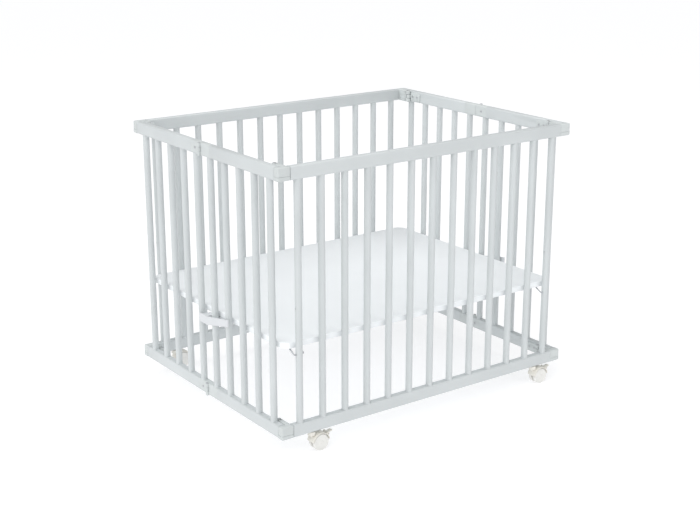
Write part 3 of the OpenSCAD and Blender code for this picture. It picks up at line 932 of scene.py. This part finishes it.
# %% Hood, boss and wall


def add_hood(bm, inner, thickness, half_width, foot):
    """A rounded strip bent over the wheels. The axle lies at the origin."""
    part = bmesh.new()
    outline = rounded_outline((inner, -half_width), (inner + thickness, half_width), thickness * 0.42, 4)
    start = math.asin(foot / inner)
    ring = [part.verts.new((r, y, 0)) for r, y in outline]
    edges = [part.edges.new(pair) for pair in zip(ring, ring[1:] + ring[:1])]
    lean = Matrix.Rotation(-start, 3, "Y")
    bmesh.ops.rotate(part, verts=ring, cent=(0, 0, 0), matrix=lean)
    bmesh.ops.spin(
        part, geom=ring + edges, cent=(0, 0, 0), axis=(0, -1, 0), angle=math.pi - 2 * start, steps=40,
    )
    bmesh.ops.holes_fill(part, edges=part.edges[:], sides=0)
    join(bm, part)


def add_boss(bm, foot, top):
    """The socket of the stem, with a collar at its foot."""
    collar_r = BOSS_R + 0.6 * MM
    outline = [(0, foot - 1 * MM), (BOSS_R - 2 * MM, foot - 1 * MM)]
    outline += [(collar_r, foot), (collar_r, foot + 1.6 * MM), (BOSS_R, foot + 2.2 * MM)]
    outline += [(BOSS_R, top - 0.9 * MM), (BOSS_R - 0.3 * MM, top - 0.3 * MM)]
    outline += [(BOSS_R - 0.9 * MM, top), (0, top)]
    add_turned(bm, outline, (-trail, 0, 0), (0, 0, 1), 48)


def castor_housing(brake):
    """A castor's housing, with its axle at the origin and lugs if it has a brake."""
    bm = bmesh.new()
    foot = wheel_r + 1 * MM
    add_hood(bm, hood_r, HOOD_T, hood_half, HOOD_FOOT)
    add_hood(bm, hood_r + HOOD_T - 1 * MM, CREST_T, WALL_T / 2, CREST_FOOT)
    add_boss(bm, foot, boss_top - axle_place.z)
    add_rod(bm, (0, -WALL_T / 2, 0), (0, WALL_T / 2, 0), HUB_R, 0.5 * MM)
    tangent = Vector((math.cos(WALL_SLOPE), math.sin(WALL_SLOPE))) * HUB_R
    shoulder = foot + 2 * MM
    wall = [tuple(-tangent), tuple(tangent)]
    wall += [(BOSS_R - 1 * MM - trail, shoulder), (1 * MM - BOSS_R - trail, shoulder)]
    add_slab(bm, wall, WALL_T, Matrix.Translation((0, WALL_T / 2, 0)) @ FACE_Y, 0.8 * MM)
    if brake:
        pivot = joint_place("front_left_brake") - axle_place
        for side in (-1, 1):
            near, far = ((pivot.x, side * y, pivot.z) for y in (LUG_NEAR, LUG_FAR))
            add_rod(bm, near, far, LUG_R, 0.6 * MM, 32)
    return bm


# %% [markdown]
# The wheels are moulded discs. Each is a full spin of one outline, from the inner
# face over a soft tyre edge to a sunk outer face and a small hub, because a plain
# cylinder shows at once that nothing was turned.

# %% Wheels
WHEEL_W, WHEEL_HUB_R, AXLE_R = 10 * MM, 6 * MM, 2.5 * MM
TYRE_ROUND, TYRE_INNER_ROUND, FACE_SUNK = 2.4 * MM, 1.2 * MM, 0.9 * MM


def arc(centre, radius, start, end, steps=6):
    """Points on an arc, with angles in degrees."""
    turns = [math.radians(start + (end - start) * i / steps) for i in range(steps + 1)]
    return [(centre[0] + radius * math.cos(t), centre[1] + radius * math.sin(t)) for t in turns]


def castor_wheels():
    """Both wheels on their axle, which lies at the origin."""
    bm = bmesh.new()
    sunk_w = WHEEL_W - FACE_SUNK
    outline = [(0, 0), *arc((wheel_r - TYRE_INNER_ROUND, TYRE_INNER_ROUND), TYRE_INNER_ROUND, -90, 0)]
    outline += arc((wheel_r - TYRE_ROUND, WHEEL_W - TYRE_ROUND), TYRE_ROUND, 0, 90)
    outline += [(wheel_r - 4 * MM, WHEEL_W), (wheel_r - 4.5 * MM, sunk_w), (WHEEL_HUB_R, sunk_w)]
    outline += [(WHEEL_HUB_R - 0.6 * MM, WHEEL_W - 0.3 * MM), (WHEEL_HUB_R - 1.4 * MM, WHEEL_W), (0, WHEEL_W)]
    for side in (-1, 1):
        add_turned(bm, outline, (0, side * (wheels_half - WHEEL_W), 0), (0, side, 0), 64)
    axle_half = wheels_half - 1 * MM
    add_rod(bm, (0, -axle_half, 0), (0, axle_half, 0), AXLE_R)
    return bm


print(f"wheels {WHEEL_W / MM:.0f} mm wide, {2 * (wheels_half - WHEEL_W) / MM:.0f} mm apart")

# %% [markdown]
# Each front castor has a brake lever: a barrel between the two lugs of the
# housing, a pin through all of them, and a flat paddle that a toe can press. The
# paddle is a rounded outline pushed to a thickness, and three round ribs give
# it grip.

# %% Brake levers
BARREL_HALF, BARREL_R, LEVER_PIN_R = 7 * MM, 2.5 * MM, 1.2 * MM
PADDLE_L, PADDLE_HALF, PADDLE_T, PADDLE_ROUND = 17 * MM, 6.5 * MM, 3 * MM, 3 * MM
PADDLE_RISE = math.radians(-12)
GRIP_PLACES, GRIP_HALF, GRIP_R = (8.5 * MM, 11 * MM, 13.5 * MM), 4.6 * MM, 0.7 * MM


def brake_lever():
    """A lever with its pivot at the origin: barrel, pin, paddle and grip ribs."""
    bm = bmesh.new()
    add_rod(bm, (0, -BARREL_HALF, 0), (0, BARREL_HALF, 0), BARREL_R, 0.4 * MM, 32)
    add_rod(bm, (0, -LUG_FAR, 0), (0, LUG_FAR, 0), LEVER_PIN_R, 0.2 * MM, 20)
    rise = Matrix.Rotation(PADDLE_RISE, 4, "Y")
    outline = rounded_outline((0, -PADDLE_HALF), (PADDLE_L, PADDLE_HALF), PADDLE_ROUND)
    add_slab(bm, outline, PADDLE_T, rise @ Matrix.Translation((0, 0, -PADDLE_T / 2)), 1.0 * MM, 3)
    for x in GRIP_PLACES:
        start, end = (Vector((x, y, 1.4 * MM)) for y in (-GRIP_HALF, GRIP_HALF))
        add_rod(bm, rise @ start, rise @ end, GRIP_R, 0.3 * MM, 16)
    return bm


# %% [markdown]
# A castor's parts were modelled round its axle or its brake pivot, and the joints
# of the model say where those lie. So each part is moved there and rides on its
# own body: the housing swivels, the wheels roll and the lever tips.

# %% Four castors in their places
for end in ENDS:
    for side in SIDES:
        name = f"{end}_{side}"
        brake = end == "front"
        at_axle = Matrix.Translation(joint_place(f"{name}_roll"))
        housing, wheels = castor_housing(brake), castor_wheels()
        housing.transform(at_axle)
        wheels.transform(at_axle)
        make_piece(
            f"{name}_castor_body", housing, castor_plastic, f"{name}_castor",
            [f"{name}_castor_housing"],
        )
        make_piece(
            f"{name}_twin_wheels", wheels, wheel_plastic, f"{name}_wheels",
            [f"{name}_castor_wheels"],
        )
        if brake:
            lever = brake_lever()
            lever.transform(Matrix.Translation(joint_place(f"{name}_brake")))
            make_piece(
                f"{name}_brake_paddle", lever, castor_plastic, f"{name}_lever",
                [f"{name}_brake_lever"],
            )

# %% [markdown]
# ## What stays as it is
#
# The castor stems and the caps' long screws are plain turned steel inside the
# rails. Their CAD shapes are right, so they only take the steel finish.

# %% Steel on the hidden rods
for end in ENDS:
    for node in (f"{end}_castor_stems", f"{end}_fitting_screws"):
        for place in frame["nodes"][node].material_slots:
            place.material = steel
print("castor stems and cap screws take the finish", steel.name)
